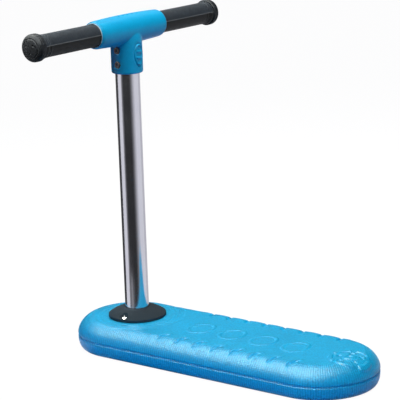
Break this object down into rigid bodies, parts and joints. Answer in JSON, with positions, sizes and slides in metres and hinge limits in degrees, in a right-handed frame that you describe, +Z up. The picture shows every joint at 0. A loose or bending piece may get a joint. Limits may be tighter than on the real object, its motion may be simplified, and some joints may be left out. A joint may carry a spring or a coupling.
{
  "type": "trick scooter",
  "caption": "Foam-deck trick scooter: soft rounded deck, upright polished tube on a domed base collar, and a T clamp with crossbar and rubber grips that spin as one.",
  "frame": {"origin": "on the ground under the middle of the deck", "axes": "+X towards the tail, so the tube and handle stand near the -X nose; +Y towards the rider's right hand; +Z up"},
  "size_m": [0.4926, 0.404, 0.4896],
  "materials": {
    "foam": "satin",
    "board": "matte",
    "hub_plastic": "satin",
    "steel": "satin",
    "bush": "satin",
    "collar": "satin",
    "polished_tube": "polished",
    "clamp": "satin",
    "crossbar": "satin",
    "grip": "matte"
  },
  "bodies": {
    "deck": {"deck_lower_foam": "foam", "deck_upper_foam": "foam", "deck_core_board": "board", "hub_housing": "hub_plastic", "hub_backing_ring": "steel", "hub_bolt_1": "steel", "hub_bolt_2": "steel", "hub_bolt_3": "steel", "hub_bolt_4": "steel", "lower_bushing": "bush", "upper_bushing": "bush", "base_collar": "collar", "collar_screw_left": "steel", "collar_screw_right": "steel"},
    "handle": {"pole_tube": "polished_tube", "pole_end_plug": "hub_plastic", "axle_bolt": "steel", "thrust_washer": "steel", "handle_clamp": "clamp", "clamp_bolt_upper": "steel", "clamp_bolt_lower": "steel", "clamp_sleeve_nut_upper": "steel", "clamp_sleeve_nut_lower": "steel", "crossbar_tube": "crossbar", "grip_left": "grip", "grip_right": "grip", "bar_end_plug_left": "grip", "bar_end_plug_right": "grip"}
  },
  "joints": [
    {"name": "bar_spin", "type": "hinge", "parent": "deck", "child": "handle", "pos_m": [-0.156, 0, 0.05], "axis": [0, 0, 1], "continuous": true}
  ]
}
